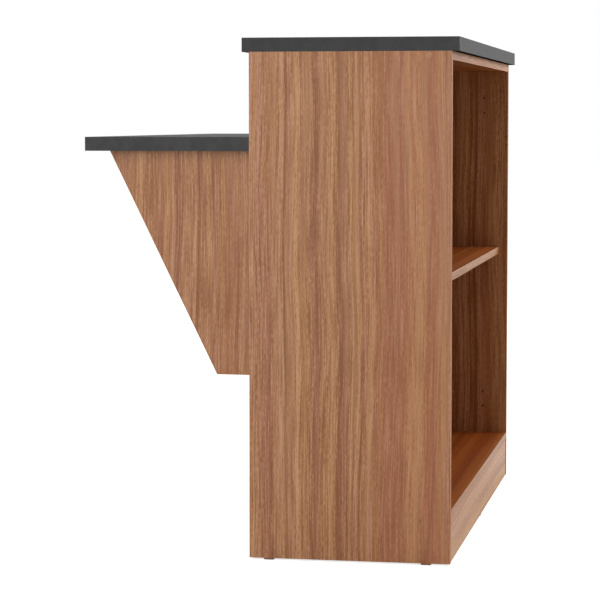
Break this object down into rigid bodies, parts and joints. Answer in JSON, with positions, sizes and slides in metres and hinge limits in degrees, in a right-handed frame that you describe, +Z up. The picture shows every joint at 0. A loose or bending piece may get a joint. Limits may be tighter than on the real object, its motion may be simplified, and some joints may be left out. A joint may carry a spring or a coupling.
{
  "type": "service counter",
  "caption": "Knock-down service counter: open walnut-finish cabinet with a mid shelf and thick dark worktop, and a lower desk top behind it on tapered bracket panels.",
  "frame": {"origin": "on the floor, under the middle of the counter's whole length and depth", "axes": "+X along the counter, -Y out of the open side of the cabinet, +Y out over the desk top, +Z up"},
  "size_m": [1.0512, 0.673, 0.928],
  "materials": {
    "walnut_board": "walnut-pattern melamine, vertical grain, satin",
    "charcoal_board": "plain charcoal melamine, satin",
    "walnut_band": "walnut-pattern edge band",
    "charcoal_band": "plain charcoal edge band",
    "cast_zinc": "bare cast zinc",
    "plated_steel": "zinc-plated steel",
    "beech": "plain beech",
    "cap_film": "walnut-coloured adhesive cap",
    "glide_plastic": "brown moulded plastic"
  },
  "bodies": {
    "root": {"left_side_panel": "walnut_board", "right_side_panel": "walnut_board", "base_board": "walnut_board", "middle_shelf": "walnut_board", "carcass_top": "walnut_board", "closing_panel": "walnut_board", "kick_board": "walnut_board", "left_bracket": "walnut_board", "right_bracket": "walnut_board", "counter_top": "charcoal_board", "desk_top": "charcoal_board", "left_side_band": "walnut_band", "right_side_band": "walnut_band", "base_board_band": "walnut_band", "middle_shelf_band": "walnut_band", "carcass_top_band": "walnut_band", "left_bracket_bands": "walnut_band", "right_bracket_bands": "walnut_band", "counter_top_bands": "charcoal_band", "desk_top_bands": "charcoal_band", "cam_locks": "cast_zinc", "cam_bolts": "plated_steel", "carcass_screws": "plated_steel", "worktop_screws": "plated_steel", "shelf_pins": "plated_steel", "glide_nails": "plated_steel", "dowels": "beech", "screw_caps": "cap_film", "glides": "glide_plastic"}
  },
  "joints": []
}
